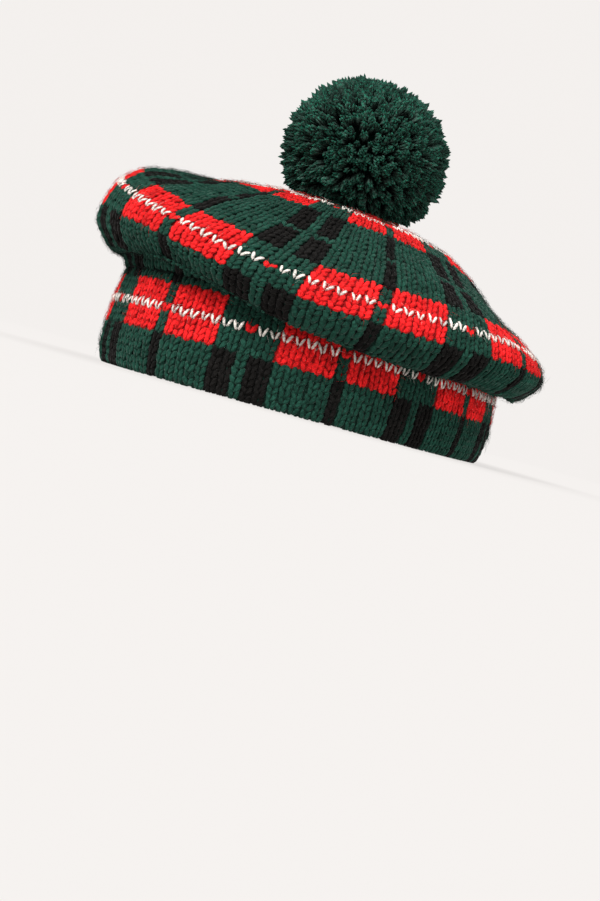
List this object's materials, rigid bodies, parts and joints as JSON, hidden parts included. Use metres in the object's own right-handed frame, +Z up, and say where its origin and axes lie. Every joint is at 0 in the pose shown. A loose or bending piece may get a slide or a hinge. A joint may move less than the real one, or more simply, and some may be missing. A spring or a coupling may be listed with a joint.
{
  "type": "knitted tam o'shanter with pompom",
  "caption": "Soft knitted tam o'shanter in green, black, red and white tartan check, with a turned-up headband, a wide crown slouching over it and a yarn pompom on top.",
  "frame": {"origin": "under the middle of the hat's bounding box, on the surface that the rim of the headband stands on", "axes": "+Z up out of the crown towards the pompom, -Y the front side as worn, +X the side that the crown slouches towards"},
  "size_m": [0.215, 0.228, 0.1576],
  "materials": {
    "tartan_knit": "matte fuzzy knit in bottle green, black, red and white yarn",
    "pompom_yarn": "matte bloomed cut yarn, bottle green"
  },
  "bodies": {
    "root": {"headband": "tartan_knit", "crown": "tartan_knit", "pompom": "pompom_yarn", "pompom_tie": "pompom_yarn"}
  },
  "joints": []
}
